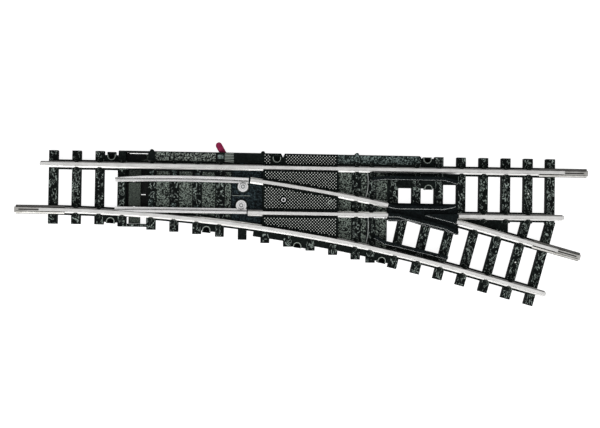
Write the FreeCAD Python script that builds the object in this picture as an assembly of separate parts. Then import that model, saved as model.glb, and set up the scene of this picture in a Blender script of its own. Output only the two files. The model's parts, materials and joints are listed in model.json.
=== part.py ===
import FreeCAD, Part
import math
import os

from FreeCAD import Vector

# A right-hand turnout for 9 mm gauge model railways, thrown by a hand lever.
# Frame: X runs along the straight route from its toe end, Y = 0 is the straight route's centre line with
# the lever on the +Y side and the branch curving towards -Y, and Z = 0 is the underside. Millimetres.

# Routes
straight_length = 112.6
branch_length = 111.7
curve_radius = 362.6
curve_angle = 15.0
gauge = 9.0
arc_length = curve_radius * math.radians(curve_angle)

# Rail section, with heights above the sleepers
rail_height = 2.03
head_width = 0.75
web_width = 0.5
foot_width = 1.32
foot_edge_height = 0.28
foot_crown_height = 0.5
head_under_height = 1.32
head_round = 0.08
rail_offset = gauge / 2 + head_width / 2

# Where the rails start and end along their routes
closure_start = 44.3
closure_end = 74.4
straight_frog_rail_start = 89.7
branch_frog_rail_start = 89.0

# Sleepers and the webs that tie them together under the rails
sleeper_top = 2.0
sleeper_width = 1.9
sleeper_half_length = 7.875
end_margin = 2.62
toe_pitch = 4.93
toe_sleepers = [end_margin + toe_pitch * i for i in range(4)]
points_pitch = 4.9
points_sleepers = [23.6 + points_pitch * i for i in range(10)]
heel_pitch = 4.88
heel_sleepers = [straight_length - end_margin - heel_pitch * i for i in reversed(range(9))]
branch_pitch = 5.18
branch_sleepers = [77.95 + branch_pitch * i for i in range(7)]
branch_sleeper_half_length = 8.15
web_half_width = 1.05
web_top = 1.85
web_bottom = 0.8
chair_radius = 0.52
chair_offset = 1.0
chair_top = 2.5
groove_half_width = 0.6
rail_clearance = 0.02
web_tie_half_length = 1.95

# Decks between the rails
toe_plate_start = 16.33
blade_deck_top = 1.8
heel_deck_start = 40.8
knurled_start = 47.5
knurled_end = 63.7
knurled_top = 2.95
stone_end = 74.4
stone_deck_top = 1.9

# Side platform that houses the lever and its linkage
platform_start = 16.58
platform_end = 81.35
platform_edge = 8.0
platform_inner_edge = 5.95
platform_top = 2.6
platform_low_top = 2.3
platform_step = 63.5
pip_radius = 0.45
high_pips = (23.6, 47.4)
low_pips = (67.7,)
cable_cup = Vector(50.45, 7.05, 0)
cable_cup_radius = 0.75
cable_cup_floor = 1.6
notch_centre = 51.7
notch_half_width = 0.4
notch_depth = 0.85

# Mechanism levels
cover_thickness = 0.35
bar_bottom = 0.45
bar_thickness = 0.8
pad_height = 1.75
crank_bottom = 1.32
crank_top = 1.72
lever_bottom = 1.1
lever_top = 1.7
tunnel_top = 1.82
cavity_top = 2.25
cavity_outer_wall = 7.75
cavity_end = 41.6
wire_low_level = 0.75
wire_high_level = 2.0
wire_radius = 0.2
wire_tail_end = 18.9
pin_top = 2.45
running_gap = 0.05

# Throw bar, its framed end and the opening it works in
bar_centre = 20.0
bar_width = 2.49
bar_travel = 2.0
bar_low_end = -7.55
bar_slot_gap = 0.06
pad_low_end = -3.75
pad_high_end = 1.2
throw_pin = Vector(20.3, -1.1, 0)
throw_pin_radius = 0.2
opening_start = 18.1
opening_end = 22.86
opening_low = -4.5
opening_high = 3.96
drive_slot = (21.3, 22.3, -1.36, -1.2)
frame_hole = (18.29, 22.58, -7.59, -6.09)
frame_outline = (16.47, 24.47, -8.25, -5.0)

# Hand lever: it rests leaning to one side of the Y axis and is thrown to the other
lever_pivot = Vector(39.55, 6.65, 0)
lever_lean = 30.0
lever_reach = 3.3
lever_width = 1.35
lever_pin_radius = 0.4
lever_hub_radius = 1.1
lever_crank = 0.976
lever_grip_start = 2.05
lever_window_half_width = 1.75
spring_half_length = 3.1
spring_thickness = 0.15
spring_face = lever_pivot.y - lever_hub_radius - 0.03

# Bell crank between the pull wire and the throw bar
wire_travel = 2 * lever_crank * math.sin(math.radians(lever_lean))
wire_line = lever_pivot.y + lever_crank * math.cos(math.radians(lever_lean))
crank_wire_arm = 1.48
crank_lean = math.degrees(math.asin(wire_travel / 2 / crank_wire_arm))
crank_bar_arm = bar_travel / 2 / math.sin(math.radians(crank_lean))
crank_pin_radius = 0.35
crank_stud_radius = 0.3
crank_pivot = Vector(
    bar_centre + 0.3 + crank_bar_arm * (1 + math.cos(math.radians(crank_lean))) / 2,
    wire_line - crank_wire_arm * math.cos(math.radians(crank_lean)),
    0,
)

# Switch blades
blade_tip = 15.9
blade_heel = 44.05
blade_bottom = 2.32
blade_top = 4.0
blade_foot_thickness = 0.3
blade_foot_reach = 0.88
blade_head_width = 0.6
blade_web_width = 0.4
blade_taper_end = 25.0
blade_taper_depth = 0.26
straight_blade_pivot = Vector(42.9, -3.3, 0)
curved_blade_pivot = Vector(43.2, 0.73, 0)
straight_stud = Vector(bar_centre, -4.15, 0)
curved_stud = Vector(bar_centre, 1.6, 0)
eyelet_radius = 1.12
stud_radius = 0.3
lug_radius = 0.3
rivet_radius = 0.4
rivet_head_radius = 0.7
rivet_head_height = 0.3

# Frog and check rails
flangeway = 1.0
guard_width = 0.75
frog_seat = 1.4
flangeway_floor = 2.9
guard_top = 4.0
frog_start = 74.55
frog_end = 88.95
knuckle = 76.2
nose_start = 82.6
check_start = 71.0
check_end = 88.6

# Nail cups beside the sleepers: half-round pockets with a flat outer end, given as the round's centre and
# how far the flat end lies beyond it. A nail goes down through the hole in each cup's floor.
upper_nail_cups = [(Vector(14.98, 6.85, 0), 0.85), (Vector(83.02, 7.32, 0), 0.45)]
lower_nail_cups = [
    (Vector(14.96, -7.17, 0), 0.43),
    (Vector(35.49, -8.73, 0), 0.56),
    (Vector(55.08, -11.9, 0), 0.35),
    (Vector(73.36, -14.79, 0), 0.5),
]
blind_cup = (Vector(83.3, 1.0, 0), 0.2)
cup_radius = 0.9
cup_wall = 0.2
cup_top = 2.1
cup_floor = 1.2
nail_radius = 0.4
nail_inset = 0.15
mould_pip_radius = 0.22
mould_pip_top = 2.12

# Rail joiners
joiner_overlap = 5.3
joiner_overhang = 5.2
joiner_tongue = 0.4
joiner_tongue_half_width = 0.62
joiner_thickness = 0.15
joiner_half_width = 0.93
seam_half_width = 0.09
seam_depth = 0.1

# Screws
cover_screw_places = [Vector(24.0, -2.6, 0), Vector(24.0, 2.6, 0), Vector(42.5, 6.3, 0)]
cover_screw_radius = 0.35
cover_screw_head = 0.6
cover_screw_tip = 1.25
deck_screw_place = Vector(51.94, -1.98, 0)
deck_screw_radius = 0.35
deck_screw_head = 0.5
deck_screw_tip = 1.2
screw_slot_half_width = 0.1

# Contact strips under the heels, and the bare wires that link rails of equal polarity
contact_end = 46.2
contact_bottom = 1.0
contact_thickness = 0.2
contact_half_width = 0.6
contact_tab_half_width = 0.3
jumper_radius = 0.12
jumper_height = sleeper_top + jumper_radius + 0.01


def straight_route(distance, offset, height=0.0):
    """Point beside the straight route; a positive offset lies on the lever side."""
    return Vector(distance, offset, height)


def branch_route(distance, offset, height=0.0):
    """Point beside the branch: a circular arc from the toe, then a straight tail."""
    bend = min(distance, arc_length) / curve_radius
    beyond = max(distance - arc_length, 0.0)
    reach = curve_radius + offset
    x = reach * math.sin(bend) + beyond * math.cos(bend)
    y = reach * math.cos(bend) - curve_radius - beyond * math.sin(bend)
    return Vector(x, y, height)


def branch_distance(x, offset):
    """Distance along the branch's arc at which the offset line reaches x."""
    return curve_radius * math.asin(x / (curve_radius + offset))


def prism(corners, bottom, top):
    points = [Vector(x, y, bottom) for x, y in corners]
    face = Part.Face(Part.makePolygon(points + points[:1]))
    return face.extrude(Vector(0, 0, top - bottom))


def block(x0, x1, y0, y1, bottom, top):
    return Part.makeBox(x1 - x0, y1 - y0, top - bottom, Vector(x0, y0, bottom))


def post(centre, radius, bottom, top):
    return Part.makeCylinder(radius, top - bottom, Vector(centre.x, centre.y, bottom))


def slot_hole(centre, along, half_length, radius, bottom, top):
    """Round-ended slot through centre, with its centre line along a direction."""
    step = along * (half_length - radius)
    across = Vector(-along.y, along.x, 0) * radius
    near, far = centre - step, centre + step
    corners = [near - across, far - across, far + across, near + across]
    body = prism([(c.x, c.y) for c in corners], bottom, top)
    return body.multiFuse([post(near, radius, bottom, top), post(far, radius, bottom, top)])


def direction(degrees):
    return Vector(math.cos(math.radians(degrees)), math.sin(math.radians(degrees)), 0)


def sweep(profile, route, start, end):
    """Solid with a constant section, given as (offset, height) pairs, along a route."""
    corners = [route(start, offset, height) for offset, height in profile]
    face = Part.Face(Part.makePolygon(corners + corners[:1]))
    if route is straight_route or start >= arc_length:
        return face.extrude(route(end, 0) - route(start, 0))
    curved_end = min(end, arc_length)
    turn = math.degrees((curved_end - start) / curve_radius)
    solid = Part.Solid(face.revolve(Vector(0, -curve_radius, 0), Vector(0, 0, -1), turn))
    if end > curved_end:
        return solid.fuse(sweep(profile, route, curved_end, end)).removeSplitter()
    return solid


def crossbar(route, distance, low, high, width, bottom, top):
    """Bar lying square across a route, between two offsets."""
    along = route(distance + 0.01, 0) - route(distance, 0)
    half = along.normalize() * (width / 2)
    near = route(distance, low)
    far = route(distance, high)
    corners = [near - half, far - half, far + half, near + half]
    return prism([(c.x, c.y) for c in corners], bottom, top)


def mirrored(half):
    return half + [(-offset, height) for offset, height in reversed(half)]


def shifted(profile, shift, lift=0.0):
    return [(offset + shift, height + lift) for offset, height in profile]


def rail_section():
    half = [
        (foot_width / 2, 0),
        (foot_width / 2, foot_edge_height),
        (web_width / 2, foot_crown_height),
        (web_width / 2, head_under_height),
        (head_width / 2, head_under_height + 0.12),
        (head_width / 2, rail_height - head_round),
        (head_width / 2 - head_round, rail_height),
    ]
    return mirrored(half)


def channel_section():
    """Room for a rail: its foot with a little clearance, and a groove up past its head."""
    half = [
        (foot_width / 2 + rail_clearance, 0),
        (foot_width / 2 + rail_clearance, foot_edge_height + rail_clearance),
        (groove_half_width, foot_crown_height - rail_clearance),
        (groove_half_width, rail_height + 1.0),
    ]
    return mirrored(half)


def rail(route, side, start, end, section=None):
    """Rail on one side of a route, +1 for the lever side and -1 for the other."""
    profile = shifted(section or rail_section(), side * rail_offset, sleeper_top)
    return sweep(profile, route, start, end)


rail_runs = {
    "straight_stock_rail": (straight_route, 1, 0.0, straight_length),
    "curved_stock_rail": (branch_route, -1, 0.0, branch_length),
    "straight_closure_rail": (straight_route, -1, closure_start, closure_end),
    "curved_closure_rail": (branch_route, 1, closure_start, branch_distance(closure_end, rail_offset)),
    "straight_frog_rail": (straight_route, -1, straight_frog_rail_start, straight_length),
    "diverging_frog_rail": (branch_route, 1, branch_frog_rail_start, branch_length),
}


def frog_bisector(side):
    """Everything on one side of the line that halves the angle between the two frog rails."""
    crossing_x = math.sqrt((curve_radius + rail_offset) ** 2 - (curve_radius - rail_offset) ** 2)
    half_angle = math.radians(curve_angle) / 2
    reach = 40.0
    gap = -0.04 * side
    near = (crossing_x, -rail_offset + gap)
    far = (crossing_x + reach, -rail_offset + gap - reach * math.tan(half_angle))
    away = reach * side
    return prism([near, far, (far[0], far[1] + away), (near[0], near[1] + away)], 0, 10)


def make_rail(node):
    route, side, start, end = rail_runs[node]
    solid = rail(route, side, start, end)
    if node == "straight_frog_rail":
        solid = solid.cut(frog_bisector(-1))
    if node == "diverging_frog_rail":
        solid = solid.cut(frog_bisector(1))
    return solid


def stock_envelope(route, side):
    """Stock rail grown by a hair, which the closed blade must not touch."""
    hair = 0.03
    half = [
        (foot_width / 2 + hair, 0),
        (foot_width / 2 + hair, foot_edge_height + hair),
        (web_width / 2 + hair, foot_crown_height + hair),
        (web_width / 2 + hair, head_under_height),
        (head_width / 2 + hair, head_under_height + 0.05),
        (head_width / 2 + hair, rail_height + 0.2),
    ]
    return rail(route, side, 0.0, 60.0, mirrored(half))


def blade_section(side):
    """Rail with its foot on the side towards the track centre only; side +1 has it at positive offsets."""
    foot_top = blade_bottom + blade_foot_thickness
    half_head = blade_head_width / 2
    half_web = blade_web_width / 2
    outline = [
        (-half_web, blade_bottom),
        (blade_foot_reach, blade_bottom),
        (blade_foot_reach, foot_top),
        (half_web, foot_top),
        (half_web, 3.3),
        (half_head, 3.42),
        (half_head, blade_top - head_round),
        (half_head - head_round, blade_top),
        (head_round - half_head, blade_top),
        (-half_head, blade_top - head_round),
        (-half_head, 3.42),
        (-half_web, 3.3),
    ]
    return [(side * offset, height) for offset, height in outline]


def blade_taper(route, side):
    """Wedge planed off the head's running face so that the tip ends thin."""
    face = side * (rail_offset - blade_head_width / 2)
    deep = face + side * blade_taper_depth
    clear = face - side * 3.0
    corners = [
        route(blade_tip - 1, deep),
        route(blade_taper_end, face),
        route(blade_taper_end, clear),
        route(blade_tip - 1, clear),
    ]
    return prism([(c.x, c.y) for c in corners], 3.0, blade_top + 1)


def closed_blade(route, side, stock_route, pivot, stud):
    """Blade lying against its stock rail, with its heel eyelet and the lug for its drive stud."""
    solid = sweep(shifted(blade_section(-side), side * rail_offset), route, blade_tip, blade_heel)
    rail_line = route(branch_distance(pivot.x, 0), side * rail_offset).y
    solid = solid.multiFuse([
        eyelet(pivot, rail_line - side * 0.1),
        stud_lug(stud, side * (rail_offset - 0.3)),
    ])
    return solid.cut(stock_envelope(stock_route, side)).cut(blade_taper(route, side))


def eyelet(pivot, rail_line):
    """Flat ring round the heel rivet, with a tab that runs under the blade's rail."""
    foot_top = blade_bottom + blade_foot_thickness
    low, high = sorted((pivot.y, rail_line))
    tab = block(pivot.x - 0.8, pivot.x + 0.8, low, high, blade_bottom, foot_top)
    return post(pivot, eyelet_radius, blade_bottom, foot_top).fuse(tab)


def stud_lug(stud, rail_line):
    """Small round lug that widens the blade's foot round its drive stud."""
    foot_top = blade_bottom + blade_foot_thickness
    low, high = sorted((stud.y, rail_line))
    lug = block(stud.x - lug_radius, stud.x + lug_radius, low, high, blade_bottom, foot_top)
    return post(stud, lug_radius, blade_bottom, foot_top).fuse(lug)


def blade_swing(pivot, stud):
    """Angle that carries the stud across the throw bar's travel."""
    return math.degrees(math.asin(bar_travel / (pivot.x - stud.x)))


def make_straight_blade():
    solid = closed_blade(straight_route, -1, branch_route, straight_blade_pivot, straight_stud)
    solid = solid.cut(post(straight_blade_pivot, rivet_radius + running_gap, 0, 5))
    return solid.cut(post(straight_stud, stud_radius / 2, 0, 2.8))


def make_curved_blade():
    """Modelled closed against its stock rail, then turned back to its open rest position."""
    swing = blade_swing(curved_blade_pivot, curved_stud)
    closed_stud = curved_stud + Vector(0, bar_travel, 0)
    solid = closed_blade(branch_route, 1, straight_route, curved_blade_pivot, closed_stud)
    solid.rotate(curved_blade_pivot, Vector(0, 0, 1), swing)
    solid = solid.cut(post(curved_blade_pivot, rivet_radius + running_gap, 0, 5))
    return solid.cut(post(curved_stud, stud_radius / 2, 0, 2.8))


def make_heel_rivet(pivot):
    foot_top = blade_bottom + blade_foot_thickness
    shank = post(pivot, rivet_radius, frog_seat - 0.2, foot_top + running_gap)
    head_bottom = foot_top + running_gap
    head = post(pivot, rivet_head_radius, head_bottom, head_bottom + rivet_head_height)
    ring_cut = post(pivot, 0.45, head_bottom + 0.2, head_bottom + 1).cut(post(pivot, 0.25, 0, 5))
    return shank.fuse(head).cut(ring_cut)


def make_drive_stud(stud):
    """Stud hanging under a blade: a thin riveted neck in the blade and a thick pin in the throw bar."""
    neck = post(stud, stud_radius / 2, blade_bottom, blade_bottom + blade_foot_thickness)
    return post(stud, stud_radius, bar_bottom + 0.1, blade_bottom).fuse(neck)


def joiner_section():
    """Sheet-metal channel wrapped under and over a rail's foot, with heights above the sleepers."""
    outer = joiner_half_width
    inner = outer - joiner_thickness
    lip_height = foot_edge_height + 0.02
    half = [
        (outer, -joiner_thickness),
        (outer, lip_height + joiner_thickness / 2),
        (0.45, foot_crown_height + 0.12),
        (0.45, foot_crown_height - 0.02),
        (inner, lip_height),
        (inner, 0),
    ]
    return mirrored(half)


def joiner(route, side, end_distance, outward):
    """Folded joiner, half on the rail and half beyond its end, with a seam in its floor and a tongue."""
    def along_rail(profile, first, last):
        start, end = sorted((end_distance + first * outward, end_distance + last * outward))
        return sweep(shifted(profile, side * rail_offset, sleeper_top), route, start, end)

    body = along_rail(joiner_section(), -joiner_overlap, joiner_overhang)
    tongue = rectangle(joiner_tongue_half_width, -joiner_thickness, 0)
    seam = rectangle(seam_half_width, -seam_depth, 0.2)
    body = body.fuse(along_rail(tongue, joiner_overhang - 1, joiner_overhang + joiner_tongue))
    return body.cut(along_rail(seam, 0.1, joiner_overhang - 0.5)).removeSplitter()


def rectangle(half_width, bottom, top):
    return [(-half_width, bottom), (half_width, bottom), (half_width, top), (-half_width, top)]


def joiner_room(route, side, end_distance, outward):
    """Room for a joiner, open beyond the rail's end."""
    start, end = sorted((end_distance + outward * 8, end_distance - outward * (joiner_overlap + 0.1)))
    profile = rectangle(joiner_half_width + rail_clearance, -joiner_thickness - 0.01, 2)
    return sweep(shifted(profile, side * rail_offset, sleeper_top), route, start, end)


joiner_places = {
    "toe_joiner": (branch_route, -1, 0.0, -1),
    "heel_joiner": (straight_route, 1, straight_length, 1),
    "branch_joiner": (branch_route, 1, branch_length, 1),
}


def make_throw_bar():
    """Flat bar across the track under the blades, with a raised pad in the deck's opening."""
    bar_top = bar_bottom + bar_thickness
    half = bar_width / 2
    crank_stud = crank_pivot - direction(crank_lean) * crank_bar_arm
    end = crank_stud.y + crank_stud_radius + 0.28
    bar = block(bar_centre - half, bar_centre + half, bar_low_end, end, bar_bottom, bar_top)
    pad = block(bar_centre - half, bar_centre + half, pad_low_end, pad_high_end, bar_top, pad_height)
    bar = bar.fuse(pad)
    for stud in (straight_stud, curved_stud):
        bar = bar.cut(bar_slot(stud, stud_radius))
    bar = bar.cut(bar_slot(Vector(bar_centre + 0.3, crank_stud.y, 0), crank_stud_radius))
    return bar.cut(post(throw_pin, throw_pin_radius, 0, 3))


def bar_slot(centre, pin_radius):
    """Slot that lets a turning part's pin wander a little along X while it drives or follows the bar."""
    radius = pin_radius + bar_slot_gap
    return slot_hole(centre, Vector(1, 0, 0), radius + 0.12, radius, 0, 3)


def make_throw_bar_pin():
    """Steel pin through the bar, which an under-board drive can pick up from below."""
    return post(throw_pin, throw_pin_radius, bar_bottom, pad_height)


def make_bell_crank():
    to_wire = direction(90 + crank_lean)
    to_bar = direction(180 + crank_lean)
    plates = [post(crank_pivot, 0.85, crank_bottom, crank_top)]
    bar_end = crank_pivot + to_bar * crank_bar_arm
    middle = (crank_pivot + bar_end) * 0.5
    plates.append(slot_hole(middle, to_bar, crank_bar_arm / 2 + 0.5, 0.5, crank_bottom, crank_top))
    wire_end = crank_pivot + to_wire * 1.1
    across = Vector(-to_wire.y, to_wire.x, 0) * 0.5
    far = to_wire * 0.5
    corners = [crank_pivot - across, wire_end + far - across, wire_end + far + across, crank_pivot + across]
    plates.append(prism([(c.x, c.y) for c in corners], crank_bottom, crank_top))
    plates.append(post(bar_end, crank_stud_radius, bar_bottom + 0.1, crank_bottom))
    solid = plates[0].multiFuse(plates[1:])
    fork = crank_pivot + to_wire * (crank_wire_arm + 0.3)
    solid = solid.cut(slot_hole(fork, to_wire, 0.3 + 0.33, wire_radius + running_gap, 0, 3))
    return solid.cut(post(crank_pivot, crank_pin_radius + running_gap, 0, 3))


def make_pull_wire():
    """Z-bent rod: low run from the lever, up through the bell crank's fork, then a high tail."""
    lever_end = lever_pivot + direction(90 + lever_lean) * lever_crank
    crank_end = crank_pivot + direction(90 + crank_lean) * crank_wire_arm
    along = Vector(1, 0, 0)
    low = Vector(crank_end.x, wire_line, wire_low_level)
    high = Vector(crank_end.x, wire_line, wire_high_level)
    tail = Vector(wire_tail_end, wire_line, wire_high_level)
    pieces = [
        Part.makeCylinder(wire_radius, lever_end.x - crank_end.x, low, along),
        Part.makeCylinder(wire_radius, crank_end.x - wire_tail_end, tail, along),
        post(low, wire_radius, wire_low_level, wire_high_level),
        post(lever_end, wire_radius, wire_low_level, lever_top - 0.1),
        Part.makeSphere(wire_radius, low),
        Part.makeSphere(wire_radius, high),
        Part.makeSphere(wire_radius, Vector(lever_end.x, wire_line, wire_low_level)),
    ]
    return pieces[0].multiFuse(pieces[1:])


def make_hand_lever():
    """Flat hub with two detent flats and a slot for the wire, and an arm with a thicker rounded grip."""
    arm = direction(90 + lever_lean)
    across = Vector(-arm.y, arm.x, 0) * (lever_width / 2)
    hub = post(lever_pivot, lever_hub_radius, lever_bottom, lever_top)
    flat = lever_hub_radius * math.cos(math.radians(lever_lean))
    for lean in (0, 2 * lever_lean):
        outward = direction(270 + lean)
        side = Vector(-outward.y, outward.x, 0) * 2
        near = lever_pivot + outward * flat
        corners = [near - side, near + side, near + side + outward, near - side + outward]
        hub = hub.cut(prism([(c.x, c.y) for c in corners], 0, 3))
    tip = lever_pivot + arm * lever_reach
    corners = [lever_pivot - across, tip - across, tip + across, lever_pivot + across]
    stem = prism([(c.x, c.y) for c in corners], lever_bottom, lever_top)
    grip_start = lever_pivot + arm * lever_grip_start
    corners = [grip_start - across, tip - across, tip + across, grip_start + across]
    grip = prism([(c.x, c.y) for c in corners], lever_bottom - 0.3, lever_top + 0.6)
    grip_end = post(tip, lever_width / 2, lever_bottom - 0.3, lever_top + 0.6)
    solid = hub.multiFuse([stem, grip, grip_end])
    half_slide = lever_crank * (1 - math.cos(math.radians(lever_lean))) / 2
    slot_centre = lever_pivot + arm * (lever_crank - half_slide)
    slot_radius = wire_radius + running_gap
    solid = solid.cut(slot_hole(slot_centre, arm, half_slide + slot_radius, slot_radius, 0, 3))
    return solid.cut(post(lever_pivot, lever_pin_radius + running_gap, 0, 3))


def make_pivot_pin(pivot, radius):
    """Pin pressed into the platform's roof from below, reaching down to the cover."""
    return post(pivot, radius, cover_thickness + 0.02, pin_top)


def make_detent_spring():
    """Leaf spring behind the lever's hub, held in the housing at both ends."""
    left, right = lever_pivot.x - spring_half_length, lever_pivot.x + spring_half_length
    return block(left, right, spring_face - spring_thickness, spring_face, lever_bottom - 0.3, lever_top)


def cover_outline(margin):
    """Outline of the plate that closes the mechanism from below."""
    return [
        (17.2 - margin, -5.6 - margin),
        (25.0 + margin, -5.6 - margin),
        (25.0 + margin, 4.75 - margin),
        (43.4 + margin, 4.75 - margin),
        (43.4 + margin, cavity_outer_wall + margin),
        (17.2 - margin, cavity_outer_wall + margin),
    ]


def make_bottom_cover():
    """Plate with countersunk screws and a slot through which an under-board drive reaches the bar."""
    plate = prism(cover_outline(-0.04), 0, cover_thickness)
    for place in cover_screw_places:
        plate = plate.cut(post(place, cover_screw_radius + running_gap, -1, 1))
        plate = plate.cut(post(place, cover_screw_head + running_gap, -1, 0.2))
    return plate.cut(block(*drive_slot, -1, 1))


def screw(place, shank_radius, head_radius, head_base, head_height, tip):
    """Slotted screw with its head facing up or down, depending on which way its tip lies."""
    facing = 1 if tip < head_base else -1
    shank = post(place, shank_radius, min(tip, head_base), max(tip, head_base))
    head_top = head_base + facing * head_height
    head = post(place, head_radius, min(head_base, head_top), max(head_base, head_top))
    slot_bottom = head_top - facing * head_height / 2
    low, high = sorted((slot_bottom, head_top + facing))
    gap = screw_slot_half_width
    slot = block(place.x - head_radius, place.x + head_radius, place.y - gap, place.y + gap, low, high)
    return shank.fuse(head).cut(slot)


def make_cover_screws():
    screws = [
        screw(place, cover_screw_radius, cover_screw_head, 0.2, 0.2, cover_screw_tip)
        for place in cover_screw_places
    ]
    return Part.makeCompound(screws)


def make_deck_screw():
    """Screw in the knurled deck, its head standing a little proud."""
    seat = knurled_top - 0.1
    return screw(deck_screw_place, deck_screw_radius, deck_screw_head, seat, 0.25, deck_screw_tip)


def contact_spot(side):
    """Spot under the closure rail that a contact strip reaches."""
    if side < 0:
        return Vector(contact_end, -rail_offset, 0)
    return Vector(contact_end, branch_route(branch_distance(contact_end, rail_offset), rail_offset).y, 0)


def contact_blank(pivot, side, bottom, margin=0.0):
    """Strip from a blade's rivet to its closure rail, with a tab up to the rail's foot."""
    spot = contact_spot(side)
    centre = (pivot + spot) * 0.5
    along = spot - pivot
    half = along.Length / 2 + contact_half_width
    along.normalize()
    width = contact_half_width + margin
    tab = contact_tab_half_width + margin
    top = contact_bottom + contact_thickness
    strip = slot_hole(centre, along, half + margin, width, bottom, top)
    riser = block(spot.x - tab, spot.x + tab, spot.y - tab, spot.y + tab, contact_bottom + 0.1, sleeper_top)
    return strip.fuse(riser)


def make_heel_contact(pivot, side):
    return contact_blank(pivot, side, contact_bottom).cut(post(pivot, rivet_radius, 0, 3))


def jumper(points):
    """Bare wire bent in an arc over the deck between two rails."""
    arc = Part.Arc(*points).toShape()
    wire = Part.Wire([arc])
    tangent = arc.tangentAt(arc.FirstParameter)
    circle = Part.Wire([Part.makeCircle(jumper_radius, points[0], tangent)])
    return wire.makePipeShell([circle], True, False)


def make_jumper(straight_side, branch_side, top_x, bulge, bottom_x):
    """Jumper from the straight route's rail on one side down to the branch's rail on another."""
    top = straight_side * rail_offset - foot_width / 2 - 0.02
    distance = branch_distance(bottom_x, branch_side * rail_offset)
    bottom = branch_route(distance, branch_side * rail_offset + foot_width / 2).y + 0.06
    plan = [(top_x, top), bulge, (bottom_x, bottom)]
    return jumper([Vector(x, y, jumper_height) for x, y in plan])


def band(centre_line, half_width, bottom, top):
    """Upright strip of constant width along a polyline given as (x, y) pairs."""
    strips = []
    for (x0, y0), (x1, y1) in zip(centre_line, centre_line[1:]):
        across = Vector(y0 - y1, x1 - x0, 0).normalize() * half_width
        corners = [
            (x0 + across.x, y0 + across.y),
            (x1 + across.x, y1 + across.y),
            (x1 - across.x, y1 - across.y),
            (x0 - across.x, y0 - across.y),
        ]
        strips.append(prism(corners, bottom, top))
        strips.append(post(Vector(x1, y1, 0), half_width, bottom, top))
    return strips[0].multiFuse(strips[1:-1]).removeSplitter()


def branch_line(stations):
    """(x, y) points for (distance, offset) stations along the branch."""
    points = [branch_route(distance, offset) for distance, offset in stations]
    return [(p.x, p.y) for p in points]


def guard_offset():
    """Centre line of a wing or check rail, measured from its route's centre."""
    return gauge / 2 - flangeway - guard_width / 2


def straight_check_line():
    inner = guard_offset()
    return [(check_start, inner - 0.35), (73.3, inner), (86.4, inner), (89.4, inner - 0.75)]


def branch_check_line():
    inner = -guard_offset()
    stations = [(72.6, inner + 0.7), (75.0, inner), (80.0, inner), (85.0, inner), (check_end + 0.5, inner)]
    return branch_line(stations)


def make_check_rail(centre_line):
    return band(centre_line, guard_width / 2, stone_deck_top, guard_top)


def frog_outline():
    """Frog casting in plan, from the closure rails' ends to the frog rails' starts."""
    upper = [(frog_start, -2.25), (frog_end + 0.5, -2.25)]
    lower = branch_line([(90.2, 2.35), (83.0, 2.35), (79.0, 2.6)])
    return upper + lower + [(frog_start, -5.95)]


def upper_wing_line():
    """Wing rail that leads on from the curved closure rail, then follows the straight frog rail."""
    start = branch_route(branch_distance(frog_start, rail_offset), rail_offset)
    inner = -guard_offset()
    return [(start.x, start.y), (knuckle, inner - 0.02), (86.5, inner), (frog_end, inner + 0.55)]


def lower_wing_line():
    """Wing rail that leads on from the straight closure rail, then follows the diverging frog rail."""
    inner = guard_offset()
    turn = branch_distance(77.0, inner)
    last = branch_line([(turn + 1.2, inner + 0.02), (83.5, inner), (87.0, inner), (89.9, inner - 0.55)])
    return [(frog_start, -rail_offset), (76.6, -rail_offset)] + last


def nose_corners():
    """Plan of the frog's nose, bounded by the two routes' running faces."""
    face = gauge / 2
    heel = straight_frog_rail_start - 0.1
    lower = branch_line([(89.0, face), (86.0, face), (branch_distance(nose_start, face), face)])
    return [(nose_start, -face), (heel, -face), (heel, lower[0][1])] + lower


def make_frog_insert():
    """One-piece plastic frog: floor, two wing rails and the nose, cut back for the rails that meet it."""
    body = prism(frog_outline(), frog_seat, flangeway_floor)
    wings = [
        band(upper_wing_line(), guard_width / 2, frog_seat, guard_top),
        band(lower_wing_line(), guard_width / 2, frog_seat, guard_top),
    ]
    nose = prism(nose_corners(), frog_seat, guard_top)
    solid = body.multiFuse(wings + [nose])
    ends = [make_rail_room(node) for node in ("straight_closure_rail", "curved_closure_rail")]
    ends += [make_rail_room(node) for node in ("straight_frog_rail", "diverging_frog_rail")]
    return solid.cut(Part.makeCompound(ends)).removeSplitter()


def make_rail_room(node):
    """Straight-sided room for a whole rail."""
    route, side, start, end = rail_runs[node]
    section = rectangle(foot_width / 2 + rail_clearance, -0.01, rail_height + 1)
    return rail(route, side, start - 0.03, end + 0.03, section)


def lower_sleeper_end(x):
    """Y at which a sleeper square to the straight route ends, outside the curved stock rail."""
    offset = -branch_sleeper_half_length + 0.1
    return branch_route(branch_distance(x, offset), offset).y


def straight_sleeper(x):
    """Sleeper square to the straight route; past the frog it stops just below the straight frog rail."""
    low = -sleeper_half_length
    if x > toe_sleepers[-1]:
        low = lower_sleeper_end(x)
    if x > heel_sleepers[0]:
        low = -rail_offset - 1.3
    return crossbar(straight_route, x, low, sleeper_half_length, sleeper_width, 0, sleeper_top)


def branch_sleeper(distance):
    """Sleeper square to the branch; the last two run up to meet the straight route's sleepers."""
    high = rail_offset - 1.0
    if distance > straight_frog_rail_start:
        high = rail_offset + 1.1
    if distance > branch_sleepers[-3] + 1:
        centre = branch_route(distance, 0)
        high = (-rail_offset - 0.8 - centre.y) / math.cos(math.radians(curve_angle))
    return crossbar(branch_route, distance, -branch_sleeper_half_length, high, sleeper_width, 0, sleeper_top)


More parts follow.
